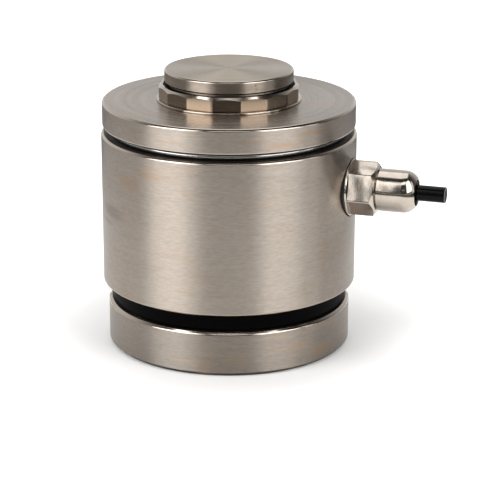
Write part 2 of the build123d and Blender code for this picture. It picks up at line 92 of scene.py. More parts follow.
# Shader maths: a wire is one output socket, and arithmetic on wires adds Math nodes
class Wire:
    def __init__(self, tree, socket=None):
        self.tree = tree
        self.socket = socket

    def node(self, kind, settings=None, sockets=None, out=0):
        made = self.tree.nodes.new(kind)
        for name, value in (settings or {}).items():
            setattr(made, name, value)
        for name, value in (sockets or {}).items():
            if isinstance(value, Wire):
                self.tree.links.new(value.socket, made.inputs[name])
            elif value is not None:
                made.inputs[name].default_value = value
        return Wire(self.tree, made.outputs[out] if made.outputs else None)

    def math(self, operation, other=None, clamp=False):
        settings = {"operation": operation, "use_clamp": clamp}
        return self.node("ShaderNodeMath", settings, {0: self, 1: other})

    def __add__(self, other):
        return self.math("ADD", other)

    __radd__ = __add__

    def __sub__(self, other):
        return self.math("SUBTRACT", other)

    def __rsub__(self, other):
        return self.node("ShaderNodeMath", {"operation": "SUBTRACT"}, {0: other, 1: self})

    def __mul__(self, other):
        return self.math("MULTIPLY", other)

    __rmul__ = __mul__

    def __truediv__(self, other):
        return self.math("DIVIDE", other)

    def __rtruediv__(self, other):
        return self.node("ShaderNodeMath", {"operation": "DIVIDE"}, {0: other, 1: self})

    def __abs__(self):
        return self.math("ABSOLUTE")

    def clamped(self):
        return self.math("ADD", 0.0, clamp=True)

    def remap(self, low, high, toLow=0.0, toHigh=1.0):
        span = {"Value": self, "From Min": low, "From Max": high, "To Min": toLow, "To Max": toHigh}
        return self.node("ShaderNodeMapRange", {"interpolation_type": "SMOOTHSTEP"}, span)

    def vector(self, operation, other, out=0):
        return self.node("ShaderNodeVectorMath", {"operation": operation}, {0: self, 1: other}, out)

    def noise(self, scale=1.0, detail=2.0, roughness=0.5):
        look = {"Vector": self, "Scale": scale, "Detail": detail, "Roughness": roughness}
        return self.node("ShaderNodeTexNoise", None, look)

    def mixed(self, first, second):
        # self is the factor; the two are colours
        return self.node("ShaderNodeMix", {"data_type": "RGBA"}, {0: self, 6: first, 7: second}, out=2)

    def parts(self):
        outputs = self.node("ShaderNodeSeparateXYZ", None, {0: self}).socket.node.outputs
        return [Wire(self.tree, outputs[i]) for i in range(3)]

    def joined(self, y, z):
        return self.node("ShaderNodeCombineXYZ", None, {0: self, 1: y, 2: z})


def rgb(r, g, b):
    return (r, g, b, 1.0)


def newMaterial(name):
    # an empty tree with a Principled shader; returns material, start wire and shader node
    material = bpy.data.materials.new(name)
    material.use_nodes = True
    tree = material.node_tree
    tree.nodes.clear()
    start = Wire(tree)
    shader = start.node("ShaderNodeBsdfPrincipled")
    start.node("ShaderNodeOutputMaterial", None, {"Surface": shader})
    return material, start, shader.socket.node


def plug(wire, node, socketName):
    wire.tree.links.new(wire.socket, node.inputs[socketName])


def objectPlace(start):
    return Wire(start.tree, start.node("ShaderNodeTexCoord").socket.node.outputs["Object"])


def bumped(start, height, distance, normal=None):
    return start.node("ShaderNodeBump", None, {"Distance": distance, "Height": height, "Normal": normal})


# Stainless steel: brushed round the walls, turned in fine rings on level faces
steelFinish = {
    "color": (0.380, 0.332, 0.287),
    "tan": (0.375, 0.290, 0.215),
    "tanAmount": 0.5,
    "tanRange": (0.50, 0.66),
    "roughness": 0.44,
    "roughSpread": 1.0,       # how far the grain varies the roughness
    "anisotropy": 0.92,
    "grainTurn": 0.25,
    "hairAcross": 2300.0,     # short brush hairs per metre, across and along the brushing
    "hairAlong": 420.0,
    "hairTone": 0.55,
    "streakAcross": 900.0,    # longer, softer streaks
    "streakAlong": 45.0,
    "streakTone": 0.26,
    "smearAcross": 420.0,     # smears of handling, drawn out along the brushing
    "smearAlong": 30.0,
    "ringAcross": 520.0,      # the rings of a turned face
    "ringAlong": 14.0,
    "blotchScale": 45.0,
    "depth": 0.004 * mm,
    "edgeHeights": (),        # heights of turned edges, which handling has polished
    "edgeWidth": 0.55 * mm,
    "edgeTone": 1.22,
    "edgeAmount": 0.45,
    "edgePolish": 0.12,
    "threadRadius": 0.0,      # a tapped hole up the middle, its thread cut in as grooves
    "threadSoft": 0.1 * mm,
    "threadPitch": 1.75 * mm,
    "threadDepth": 40.0,      # in depths of the brushing
}


def spotMask(start, place, spot, ragged):
    # a soft patch round a place; its height is squeezed where the patch is a smear along the brushing
    squeeze = Vector((1.0, 1.0, spot["squeeze"]))
    centre = Vector(spot["at"]) * squeeze * mm
    away = place.vector("MULTIPLY", squeeze).vector("DISTANCE", centre, out=1)
    radius = spot["radius"] * mm
    rough = away + (ragged - 0.5) * radius * spot["ragged"]
    return rough.remap(radius * 0.1, radius * 1.1, spot["amount"], 0.0)


def steelMaterial(name, changes=None, spots=(), rings=False):
    look = dict(steelFinish, **(changes or {}))
    material, start, shader = newMaterial(name)
    place = objectPlace(start)
    x, y, z = place.parts()
    radius = (x * x + y * y).math("SQRT")
    across = radius if rings else z

    def grain(along, crossing, detail, roughness):
        return (x * along).joined(y * along, crossing).noise(1.0, detail, roughness)

    hairs = grain(look["hairAlong"], across * look["hairAcross"], 2.0, 0.6)
    streaks = grain(look["streakAlong"], across * look["streakAcross"], 3.0, 0.65)
    smear = grain(look["smearAlong"], z * look["smearAcross"], 4.0, 0.65)
    blotch = place.noise(look["blotchScale"], 4.0, 0.6)
    stain = (blotch * 0.45 + smear * 0.55).remap(*look["tanRange"]) * look["tanAmount"]
    tone = (hairs - 0.5) * look["hairTone"] + (streaks - 0.5) * look["streakTone"] + 1.0
    if rings:
        run = look["ringAlong"]
        ring = (radius * look["ringAcross"]).joined(x * run, y * run).noise(1.0, 3.0, 0.7)
        tone = tone + (ring - 0.5) * look["ringTone"]
    tones = tone.joined(tone, tone)
    color = stain.mixed(rgb(*look["color"]), rgb(*look["tan"])).vector("MULTIPLY", tones)
    spread = (hairs - 0.5) * 0.14 + (streaks - 0.5) * 0.10 + (blotch - 0.5) * 0.12
    rough = spread * look["roughSpread"] + look["roughness"]
    height = hairs * 0.6 + streaks * 0.4
    for edge in look["edgeHeights"]:
        near = abs(z - edge).remap(0.0, look["edgeWidth"], 1.0, 0.0)
        worn = near * smear.remap(0.35, 0.6, 0.5, 1.0)
        bright = rgb(*[c * look["edgeTone"] for c in look["color"]])
        color = (worn * look["edgeAmount"]).mixed(color, bright)
        rough = rough - worn * look["edgePolish"]
    for spot in spots:
        color = spotMask(start, place, spot, smear).mixed(color, rgb(*spot["color"]))
    if look["threadRadius"]:
        wall = look["threadRadius"]
        inHole = radius.remap(wall, wall + look["threadSoft"], 1.0, 0.0)
        turn = y.math("ARCTAN2", x)
        groove = (z * (2 * math.pi / look["threadPitch"]) + turn).math("SINE")
        height = height + inHole * groove * look["threadDepth"]
    plug(color, shader, "Base Color")
    plug(rough.clamped(), shader, "Roughness")
    plug(bumped(start, height, look["depth"]), shader, "Normal")
    shader.inputs["Metallic"].default_value = 1.0
    shader.inputs["Anisotropic"].default_value = look["anisotropy"]
    shader.inputs["Anisotropic Rotation"].default_value = look["grainTurn"]
    return material


# Nickel-plated brass of the gland: smooth, with faint haze, small pits and handling marks
nickelFinish = {
    "color": (0.45, 0.402, 0.350),
    "roughness": 0.14,
    "hazeScale": 170.0,
    "hazeShade": (0.80, 0.72, 0.62),
    "hazeAmount": 0.35,
    "fineScale": 900.0,
    "fineShade": (0.9, 0.74, 0.66),
    "fineAmount": 0.18,
    "pitScale": 1500.0,
    "pitShade": (0.35, 0.28, 0.22),
    "pitAmount": 0.4,
    "grain": 0.02 * mm,
    "swell": 0.22 * mm,      # slow waviness that bends the reflections
    "swellScale": 120.0,
    "drift": -0.7 * mm,      # slides the pattern along Z, so that each facet gets the waves that suit it
}


def nickelMaterial(name, spots=()):
    look = nickelFinish
    material, start, shader = newMaterial(name)
    place = objectPlace(start)
    pattern = place.vector("ADD", (0.0, 0.0, look["drift"]))
    haze = pattern.noise(look["hazeScale"], 4.0, 0.62)
    fine = pattern.noise(look["fineScale"], 3.0, 0.6)
    pits = pattern.noise(look["pitScale"], 2.0, 0.5).remap(0.67, 0.75) * look["pitAmount"]

    def shaded(kind):
        return rgb(*[c * share for c, share in zip(look["color"], look[kind])])

    tint = (haze.remap(0.45, 0.72) * look["hazeAmount"]).mixed(rgb(*look["color"]), shaded("hazeShade"))
    tint = (fine.remap(0.55, 0.8) * look["fineAmount"]).mixed(tint, shaded("fineShade"))
    tint = pits.mixed(tint, shaded("pitShade"))
    for spot in spots:
        tint = spotMask(start, place, spot, fine).mixed(tint, rgb(*spot["color"]))
    plug(tint, shader, "Base Color")
    plug((haze - 0.5) * 0.10 + (fine - 0.5) * 0.06 + pits * 0.3 + look["roughness"], shader, "Roughness")
    wavy = bumped(start, pattern.noise(look["swellScale"], 1.0), look["swell"])
    plug(bumped(start, haze + pits * -0.6 + fine * 0.15, look["grain"], wavy), shader, "Normal")
    shader.inputs["Metallic"].default_value = 1.0
    return material


# Rubber and cable plastic; each piece gives its own tone, dust and roughness
rubberFinish = {
    "speckle": 0.2,
    "speckleScale": 1400.0,
    "cloud": 0.12,
    "cloudScale": 90.0,
    "grain": 0.02 * mm,
    "specular": 0.5,
    "index": 1.5,
    "coat": 0.0,
}


def rubberMaterial(name, changes):
    look = dict(rubberFinish, **changes)
    material, start, shader = newMaterial(name)
    place = objectPlace(start)
    speckle = place.noise(look["speckleScale"], 3.0, 0.6)
    cloud = place.noise(look["cloudScale"], 2.0)
    dusty = cloud.remap(0.5, 0.75) * 0.5
    tone, dust = look["tone"], look["dust"]
    plug(dusty.mixed(rgb(tone, tone, tone), rgb(dust, dust * 0.96, dust * 0.9)), shader, "Base Color")
    rough = (speckle - 0.5) * look["speckle"] + (cloud - 0.5) * look["cloud"] + look["roughness"]
    plug(rough, shader, "Roughness")
    plug(bumped(start, speckle, look["grain"]), shader, "Normal")
    shader.inputs["Specular IOR Level"].default_value = look["specular"]
    shader.inputs["IOR"].default_value = look["index"]
    shader.inputs["Coat Weight"].default_value = look["coat"]
    return material


def plainMaterial(name, color, roughness=0.4, metallic=0.0, scale=400.0, contrast=0.12, grain=0.01 * mm):
    # small hidden pieces: one colour, broken up by a fine grain
    material, start, shader = newMaterial(name)
    place = objectPlace(start)
    grainWire = place.noise(scale, 3.0, 0.55)
    dark = rgb(*[c * (1 - contrast) for c in color])
    light = rgb(*[min(1.0, c * (1 + contrast)) for c in color])
    plug(grainWire.mixed(dark, light), shader, "Base Color")
    plug((grainWire - 0.5) * 0.15 + roughness, shader, "Roughness")
    plug(bumped(start, grainWire, grain), shader, "Normal")
    shader.inputs["Metallic"].default_value = metallic
    return material


braidLook = {
    "wires": 8,
    "lay": 900.0,
    "gap": (0.25, 0.25, 0.25),
    "wire": (0.78, 0.77, 0.75),
    "depth": 0.05 * mm,
}


def braidMaterial(name, look):
    # tinned braid: two crossing sets of wires round the cable
    material, start, shader = newMaterial(name)
    x, y, z = objectPlace(start).parts()
    turn = y.math("ARCTAN2", z - glandAxisHeight) * (look["wires"] / math.pi)
    run = x * look["lay"]
    weave = (turn + run).math("SINE").math("MAXIMUM", (turn - run).math("SINE"))
    plug(weave.remap(0.0, 1.0).mixed(rgb(*look["gap"]), rgb(*look["wire"])), shader, "Base Color")
    plug(weave * -0.1 + 0.42, shader, "Roughness")
    plug(bumped(start, weave, look["depth"]), shader, "Normal")
    shader.inputs["Metallic"].default_value = 1.0
    return material


# Turned pieces: an outline of (radius, place along the axis, rounding) is closed, softened and spun
poleRadius = 0.0001 * mm        # a point nearer the axis than this lies on it


def softOutline(corners, steps=4, guard=0.02 * mm):
    points = []
    count = len(corners)
    for i, (r, s, rounding) in enumerate(corners):
        here = Vector((r, s))
        toBefore = Vector(corners[i - 1][:2]) - here
        toAfter = Vector(corners[(i + 1) % count][:2]) - here
        if rounding <= 0 or r < poleRadius:
            points.append(here)
            continue
        lengthBefore, lengthAfter = toBefore.length, toAfter.length
        toBefore.normalize()
        toAfter.normalize()
        half = toBefore.angle(toAfter) / 2
        cut = min(rounding / math.tan(half), lengthBefore * 0.45, lengthAfter * 0.45)
        radius = cut * math.tan(half)
        centre = here + (toBefore + toAfter).normalized() * (radius / math.sin(half))
        first = here + toBefore * cut
        last = here + toAfter * cut
        if lengthBefore - cut > 3 * guard:
            points.append(first + toBefore * guard)
        for step in range(steps + 1):
            t = step / steps
            spoke = (first - centre).lerp(last - centre, t).normalized() * radius
            points.append(centre + spoke)
        if lengthAfter - cut > 3 * guard:
            points.append(last + toAfter * guard)
    return [(max(p.x, 0.0), p.y) for p in points]


def sweepRows(name, rows, segments, axis="Z", height=0.0, sharpAngle=30.0):
    # rows of (radius, along), closed into a loop and swept all round
    vertices = []
    starts = []
    for r, s in rows:
        pole = r < poleRadius
        starts.append((len(vertices), pole))
        for i in range(1 if pole else segments):
            turn = 2 * math.pi * i / segments
            if axis == "Z":
                vertices.append((r * math.cos(turn), r * math.sin(turn), s))
            else:
                vertices.append((s, r * math.cos(turn), height + r * math.sin(turn)))
    faces = []
    for k, (lowStart, lowPole) in enumerate(starts):
        highStart, highPole = starts[(k + 1) % len(rows)]
        if lowPole and highPole:
            continue
        for i in range(segments):
            j = (i + 1) % segments
            if lowPole:
                faces.append((lowStart, highStart + j, highStart + i))
            elif highPole:
                faces.append((lowStart + i, lowStart + j, highStart))
            else:
                faces.append((lowStart + i, lowStart + j, highStart + j, highStart + i))
    mesh = bpy.data.meshes.new(name)
    mesh.from_pydata(vertices, [], faces)
    mesh.validate()
    finishMesh(mesh, sharpAngle)
    return placed(name, mesh)


def finishMesh(mesh, sharpAngle):
    # faces outward, and smooth between the sharp corners
    work = bmesh.new()
    work.from_mesh(mesh)
    bmesh.ops.recalc_face_normals(work, faces=work.faces)
    work.to_mesh(mesh)
    work.free()
    mesh.shade_smooth()
    mesh.set_sharp_from_angle(angle=math.radians(sharpAngle))


def turned(name, corners, segments=192, axis="Z", height=0.0, steps=4):
    return sweepRows(name, softOutline(corners, steps), segments, axis, height)


def ringOutline(inner, outer, low, high, soft, softInside=None):
    inside = soft if softInside is None else softInside
    return [(inner, low, inside), (outer, low, soft), (outer, high, soft), (inner, high, inside)]


def dress(piece, material, slotName, *replaced):
    piece.data.materials.clear()
    piece.data.materials.append(material)
    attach(piece, "root")
    if replaced:
        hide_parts(*replaced)
    return piece


# Geometry Nodes trees: each has named inputs and ends as one real mesh with its material
def openTree(name, inputs):
    tree = bpy.data.node_groups.new(name, "GeometryNodeTree")
    given = {}
    for label, kind in inputs.items():
        socket = tree.interface.new_socket(label, in_out="INPUT", socket_type="NodeSocket" + kind)
        given[label] = socket.identifier
    tree.interface.new_socket("Piece", in_out="OUTPUT", socket_type="NodeSocketGeometry")
    start = Wire(tree)
    entry = start.node("NodeGroupInput").socket.node.outputs
    return given, start, [Wire(tree, entry[label]) for label in inputs]


def closeTree(start, geometry, metal):
    whole = start.node("GeometryNodeRealizeInstances", None, {"Geometry": geometry})
    dressed = start.node("GeometryNodeSetMaterial", None, {"Geometry": whole, "Material": metal})
    start.node("NodeGroupOutput", None, {"Piece": dressed})


# An outline turned round Z, stepped in on flats where its rows say so
def makeFacetTree():
    given, start, wires = openTree("facetedTurning", {
        "Outline": "Geometry", "Segments": "Int", "Facets": "Int", "Turn": "Float",
        "Corner": "Float", "Land": "Float", "Metal": "Material",
    })
    outline, segments, facets, offset, corner, land, metal = wires
    size = {"component": "MESH"}
    rows = start.node("GeometryNodeAttributeDomainSize", size, {"Geometry": outline}, out="Point Count")
    sheet = {"Size X": 1.0, "Size Y": 1.0, "Vertices X": segments + 1, "Vertices Y": rows + 1}
    grid = start.node("GeometryNodeMeshGrid", None, sheet, out="Mesh")
    number = start.node("GeometryNodeInputIndex")
    row = number.math("FLOORED_MODULO", rows + 1).math("FLOORED_MODULO", rows)
    turn = (number / (rows + 1)).math("FLOOR") / segments * (2 * math.pi)

    def ofRow(value, kind):
        settings = {"data_type": kind, "domain": "POINT"}
        sample = {"Geometry": outline, "Value": value, "Index": row}
        return start.node("GeometryNodeSampleIndex", settings, sample, out="Value")

    def named(name):
        kind = {"data_type": "FLOAT"}
        read = start.node("GeometryNodeInputNamedAttribute", kind, {"Name": name}, out="Attribute")
        return ofRow(read, "FLOAT")

    spot = ofRow(start.node("GeometryNodeInputPosition"), "FLOAT_VECTOR").parts()
    r, s = spot[0], spot[2]
    piece = (2 * math.pi) / facets
    middle = (turn - offset).math("FLOORED_MODULO", piece) - piece * 0.5
    flat = corner * (piece * 0.5).math("COSINE")
    outside = (flat / middle.math("COSINE")).math("MINIMUM", corner - land)
    drop = (corner - outside) * named("facet")
    across = r - drop
    along = s + drop * named("lift")
    target = (across * turn.math("COSINE")).joined(across * turn.math("SINE"), along)
    moved = start.node("GeometryNodeSetPosition", None, {"Geometry": grid, "Position": target})
    near = {"Geometry": moved, "Distance": 0.0005 * mm}
    closeTree(start, start.node("GeometryNodeMergeByDistance", None, near), metal)
    return start.tree, given


# Thin wire ends that stand in a ring round each given point, along Z, cut to slightly different lengths
def makeWireEndTree():
    given, start, wires = openTree("wireEnds", {
        "Centres": "Geometry", "Count": "Int", "Ring": "Float", "Middle Wire": "Bool",
        "Wire Radius": "Float", "Length": "Float", "Seed": "Int", "Metal": "Material",
    })
    centres, count, ring, middle, wireRadius, length, seed, metal = wires
    circle = start.node("GeometryNodeMeshCircle", None, {"Vertices": count, "Radius": ring})
    rings = start.node("GeometryNodeInstanceOnPoints", None, {"Points": centres, "Instance": circle})
    spread = start.node("GeometryNodeRealizeInstances", None, {"Geometry": rings})
    both = start.node("GeometryNodeJoinGeometry")
    for part in (centres, spread):
        start.tree.links.new(part.socket, both.socket.node.inputs[0])
    choice = {"Switch": middle, "False": spread, "True": both}
    points = start.node("GeometryNodeSwitch", {"input_type": "GEOMETRY"}, choice)
    strand = {"Vertices": 10, "Radius": wireRadius, "Depth": length}
    cylinder = start.node("GeometryNodeMeshCylinder", None, strand, out="Mesh")
    lengths = {2: 0.75, 3: 1.0, "Seed": seed}
    stretch = start.node("FunctionNodeRandomValue", {"data_type": "FLOAT"}, lengths, out=1)
    scale = start.node("ShaderNodeCombineXYZ", None, {0: 1.0, 1: 1.0, 2: stretch})
    stand = {"Points": points, "Instance": cylinder, "Scale": scale}
    closeTree(start, start.node("GeometryNodeInstanceOnPoints", None, stand), metal)
    return start.tree, given


facetTree = makeFacetTree()
wireEndTree = makeWireEndTree()


def grown(name, mesh, treeAndInputs, values, sharpAngle, height=None):
    # runs a tree on a mesh and keeps a plain piece; where a height is given, Z turns to X at that height
    tree, given = treeAndInputs
    source = placed(mesh.name, mesh)
    modifier = source.modifiers.new("growing", "NODES")
    modifier.node_group = tree
    for label, value in values.items():
        modifier[given[label]] = value
    piece = plainCopy(source, name)
    if height is not None:
        piece.data.transform(Matrix(((0, 0, 1, 0), (1, 0, 0, 0), (0, 1, 0, height), (0, 0, 0, 1))))
    finishMesh(piece.data, sharpAngle)
    return piece


def facetedTurning(name, rows, look, corner, metal, sharpAngle=12.0, height=None):
    # rows: (radius, along, facet, lift); facet 1 follows the flats, lift moves a row along as it steps in
    count = len(rows)
    mesh = bpy.data.meshes.new(name + "_outline")
    loop = [(i, (i + 1) % count) for i in range(count)]
    mesh.from_pydata([(row[0], 0, row[1]) for row in rows], loop, [])
    for column, label in ((2, "facet"), (3, "lift")):
        attribute = mesh.attributes.new(label, "FLOAT", "POINT")
        attribute.data.foreach_set("value", [float(row[column]) for row in rows])
    values = {
        "Segments": look["facets"] * look["stepsPerFacet"],
        "Facets": look["facets"],
        "Turn": math.radians(look["turn"]),
        "Corner": corner,
        "Land": look["land"],
        "Metal": metal,
    }
    return grown(name, mesh, facetTree, values, sharpAngle, height)


def wireEnds(name, centres, values):
    # centres: (sideways, upwards, along) from the cable's axis
    mesh = bpy.data.meshes.new(name + "_centres")
    mesh.from_pydata(centres, [], [])
    return grown(name, mesh, wireEndTree, values, 40.0, glandAxisHeight)


def plainCopy(source, name):
    # the evaluated object as a plain mesh, with its modifiers gone
    graph = bpy.context.evaluated_depsgraph_get()
    mesh = bpy.data.meshes.new_from_object(source.evaluated_get(graph))
    mesh.name = name
    bpy.data.objects.remove(source)
    return placed(name, mesh)


def rod(name, radius, begin, end, axis="X", height=0.0, segments=96, centre=(0.0, 0.0)):
    # a plain cutter, along X at the gland's height or upright at a centre
    rows = [(0, begin), (radius, begin), (radius, end), (0, end)]
    cutter = sweepRows(name, rows, segments, axis, height)
    cutter.data.transform(Matrix.Translation((*centre, 0)))
    return cutter


def cutWith(piece, cutters, roundWalls, sharpAngle=30.0, tolerance=0.02 * mm, steep=0.2):
    # take the cutters out; a corner on one of the round walls about Z then gets that wall's own normal
    for cutter in cutters:
        boolean = piece.modifiers.new("cut", "BOOLEAN")
        boolean.operation = "DIFFERENCE"
        boolean.solver = "EXACT"
        boolean.object = cutter
    made = plainCopy(piece, piece.name)
    for cutter in cutters:
        bpy.data.objects.remove(cutter)
    mesh = made.data
    mesh.shade_smooth()
    mesh.set_sharp_from_angle(angle=math.radians(sharpAngle))
    normals = [Vector(corner.vector) for corner in mesh.corner_normals]
    for face in mesh.polygons:
        if abs(face.normal.z) > steep:
            continue
        spots = [mesh.vertices[v].co for v in face.vertices]
        if not any(all(abs(math.hypot(p.x, p.y) - r) < tolerance for p in spots) for r in roundWalls):
            continue
        for corner, p in zip(face.loop_indices, spots):
            out = Vector((p.x, p.y, 0)).normalized()
            normals[corner] = out if out.dot(face.normal) > 0 else -out
    mesh.normals_split_custom_set(normals)
    return made


def finishFaces(piece, levelMaterial, edgeMaterial, level=0.97, steep=0.12):
    # level faces and broken edges get finishes of their own, beside the wall's
    piece.data.materials.append(levelMaterial)
    piece.data.materials.append(edgeMaterial)
    for face in piece.data.polygons:
        upright = abs(face.normal.z)
        if upright > level:
            face.material_index = 1
        elif upright > steep:
            face.material_index = 2


def halfWidth(node, axis="x"):
    low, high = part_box(node)
    return (getattr(high, axis) - getattr(low, axis)) / 2


# Sizes that several pieces share, read from the frame
housingLow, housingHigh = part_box("housing")
housingRadius = halfWidth("housing")
boreRadius = halfWidth("clamp_ring") + 0.1 * mm
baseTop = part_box("base_plate")[1].z
baseRadius = halfWidth("base_plate")
coverLow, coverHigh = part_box("cover_plate")
coverDiscLow = coverHigh.z - 9.0 * mm
stemRadius = 18 * mm
glandAxisHeight = (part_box("gland_cap")[0].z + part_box("gland_cap")[1].z) / 2
cableRadius = halfWidth("cable_jacket", "z")


# Marks of use: place and radius in mm, colour, how much of it shows
def mark(at, radius, color, amount, squeeze=1.0, ragged=2.4):
    return dict(at=at, radius=radius, color=color, amount=amount, squeeze=squeeze, ragged=ragged)


tanMark = (0.40, 0.275, 0.175)
housingSpots = (
    mark((-23.5, -38.4, 65.2), 10.0, tanMark, 0.50, 2.8),
    mark((-14.0, -42.8, 69.7), 8.0, tanMark, 0.50, 2.4),
    mark((-33.0, -30.6, 51.7), 11.0, (0.22, 0.185, 0.15), 0.60, 3.2),
    mark((-36.0, -27.0, 47.7), 7.0, (0.20, 0.165, 0.135), 0.50, 4.0),
    mark((44.75, 4.6, 23.1), 0.9, (0.02, 0.018, 0.015), 1.0, ragged=1.0),
    mark((44.9, 3.0, 25.1), 0.5, (0.05, 0.04, 0.035), 0.9, ragged=1.0),
)
baseSpots = (
    mark((39.8, -16.7, 5.2), 8.0, tanMark, 0.50, 3.0),
    mark((34.5, -26.1, 8.5), 7.0, tanMark, 0.40, 3.0),
    mark((16.0, -40.2, 5.7), 6.0, tanMark, 0.30, 1.6),
)
coverSpots = (
    mark((30.3, -32.7, 81.3), 10.0, tanMark, 0.55, 7.0),
    mark((22.0, -38.7, 83.3), 11.0, tanMark, 0.50, 9.0),
    mark((36.0, -26.2, 84.1), 8.0, tanMark, 0.55, 8.0),
    mark((-6.0, -44.1, 82.1), 10.0, tanMark, 0.30, 8.0),
    mark((-22.3, -28.9, 87.6), 8.0, tanMark, 0.28),
    mark((33.0, 3.0, 87.6), 9.0, tanMark, 0.30),
    mark((1.6, -33.0, 87.6), 7.0, tanMark, 0.30),
)
buttonSpots = (
    mark((15.2, -16.7, 95.6), 1.0, (0.30, 0.17, 0.09), 0.7),
    mark((15.0, -16.9, 97.0), 0.5, (0.12, 0.09, 0.07), 0.8),
)
buttonTopSpots = (mark((0.0, 0.0, 98.55), 0.7, (0.20, 0.165, 0.13), 0.8, ragged=0.5),)
glandSpots = (
    mark((50.0, -4.0, 67.9), 1.1, (0.20, 0.17, 0.14), 0.75),
    mark((49.5, -8.2, 61.3), 1.4, (0.52, 0.36, 0.28), 0.55),
    mark((60.6, -7.3, 60.1), 0.8, (0.32, 0.28, 0.24), 0.7),
    mark((61.5, -6.0, 55.0), 1.6, (0.42, 0.33, 0.26), 0.45),
)

brushedSteel = {
    "housing": {"edgeHeights": (housingLow.z, housingHigh.z)},
    # the base's steel is darker than the housing's: painted shade of the shadowed floor it reflects
    "base": {
        "color": (0.288, 0.254, 0.220), "edgeHeights": (0.0, baseTop), "threadRadius": 5.2 * mm,
        "tanAmount": 0.6,
    },
    "cover": {"edgeHeights": (coverHigh.z, coverDiscLow), "tanAmount": 0.6},
    "button": {
        "color": (0.36, 0.31, 0.262), "roughness": 0.36, "anisotropy": 0.85, "tanAmount": 0.25,
        "depth": 0.0015 * mm,
    },
    "nut": {
        "color": (0.33, 0.267, 0.208), "roughness": 0.18, "anisotropy": 0.3, "tanAmount": 0.6,
        "depth": 0.0005 * mm, "hairTone": 0.2,
    },
}
turnedFaces = {
    "cover": {
        "color": (0.307, 0.264, 0.224), "roughness": 0.28, "anisotropy": 0.65, "ringTone": 0.80,
        "hairAlong": 60.0, "streakAlong": 14.0, "hairTone": 0.22, "tanAmount": 0.4, "depth": 0.0015 * mm,
    },
    "button": {
        "color": (0.358, 0.307, 0.250), "roughness": 0.36, "anisotropy": 0.8, "ringTone": 0.30,
        "hairAlong": 60.0, "streakAlong": 14.0, "hairTone": 0.35, "streakTone": 0.22, "tanAmount": 0.1,
    },
}

# Broken edges are turned smooth, and handling has polished them
edgeFinish = {
    "color": (0.46, 0.40, 0.345), "roughness": 0.12, "roughSpread": 0.3, "anisotropy": 0.0,
    "hairTone": 0.10, "streakTone": 0.08, "depth": 0.0006 * mm, "tanAmount": 0.3,
}
edgeSteel = steelMaterial("polishedEdgeSteel", edgeFinish)
# The lands beside the seals and the foot's edge get a near-black, dull steel: painted shade of the
# grooves and of the floor contact under the foot
paintedShadeFinish = {"color": (0.06, 0.051, 0.043), "roughness": 0.42, "anisotropy": 0.3, "depth": 0.002 * mm}
paintedShadeSteel = steelMaterial("paintedShadeLandSteel", paintedShadeFinish)

# Housing tube, spot-faced and drilled for the gland
housingPiece = {
    "edge": 0.7 * mm,
    "round": 0.65 * mm,
    "boreRound": 0.1 * mm,
    "spotExtra": 0.5 * mm,
    "spotEnd": 60 * mm,
    "drillRadius": 6.05 * mm,
    "drillStart": 30 * mm,
    "overlap": 1 * mm,
}


def makeHousing(look):
    low, high = housingLow.z, housingHigh.z
    edge, soft, small = look["edge"], look["round"], look["boreRound"]
    outline = [
        (boreRadius, low, small),
        (housingRadius - edge, low, soft),
        (housingRadius, low + edge, soft),
        (housingRadius, high - edge, soft),
        (housingRadius - edge, high, soft),
        (boreRadius, high, small),
    ]
    tube = turned("housing_tube", outline, segments=256)
    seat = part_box("gland_gasket")[0].x
    spotRadius = halfWidth("gland_gasket", "z") + look["spotExtra"]
    spot = rod("spot_cutter", spotRadius, seat, look["spotEnd"], "X", glandAxisHeight)
    drillEnd = seat + look["overlap"]
    drill = rod("drill_cutter", look["drillRadius"], look["drillStart"], drillEnd, "X", glandAxisHeight)
    return cutWith(tube, [spot, drill], (housingRadius, boreRadius))


housing = makeHousing(housingPiece)
housingSteel = steelMaterial("brushedHousingSteel", brushedSteel["housing"], housingSpots)
dress(housing, housingSteel, "housing_steel", "housing")
# the level faces, such as the land under the O-ring, get the near-black steel: painted groove shade
finishFaces(housing, paintedShadeSteel, edgeSteel)
print("housing made")

# Base plate: tapped hole in the middle, four counterbored screw holes from below
basePiece = {
    "topEdge": 0.9 * mm,
    "footEdge": 1.2 * mm,
    "footRound": 0.2 * mm,
    "round": 0.75 * mm,
    "small": 0.1 * mm,
    "thread": (5.1 * mm, 10.0 * mm),
    "spigot": (12.0 * mm, 2.0 * mm),
    "screwRing": 28.0 * mm,
    "counterbore": (5.2 * mm, 6.8 * mm),
    "screwHole": 3.2 * mm,
    "holeEnd": 20 * mm,
    "overlap": 1 * mm,
}


def makeBase(look):
    soft, footSoft, small = look["round"], look["footRound"], look["small"]
    threadRadius, threadDepth = look["thread"]
    spigotRadius, spigotDepth = look["spigot"]
    outline = [
        (0, threadDepth, 0),
        (threadRadius, threadDepth, 0),
        (threadRadius, 0, small),
        (baseRadius - look["footEdge"], 0, footSoft),
        (baseRadius, look["footEdge"], footSoft),
        (baseRadius, baseTop - look["topEdge"], soft),
        (baseRadius - look["topEdge"], baseTop, soft),
        (spigotRadius, baseTop, small),
        (spigotRadius, baseTop - spigotDepth, 0),
        (0, baseTop - spigotDepth, 0),
    ]
    disc = turned("base_disc", outline, segments=256)
    bore, depth = look["counterbore"]
    over = look["overlap"]
    cutters = []
    for k in range(4):
        turn = math.radians(45 + 90 * k)
        centre = (look["screwRing"] * math.cos(turn), look["screwRing"] * math.sin(turn))
        cutters.append(rod("bore_cutter", bore, -over, depth, "Z", 0.0, 64, centre))
        hole = look["screwHole"]
        cutters.append(rod("hole_cutter", hole, depth - over, look["holeEnd"], "Z", 0.0, 48, centre))
    return cutWith(disc, cutters, (baseRadius, threadRadius, spigotRadius))


base = makeBase(basePiece)
baseSteel = steelMaterial("brushedBaseSteelPaintedShade", brushedSteel["base"], baseSpots)
dress(base, baseSteel, "housing_steel", "base_plate")
# the level faces, such as the land under the band, get the near-black steel: painted groove shade
finishFaces(base, paintedShadeSteel, edgeSteel)
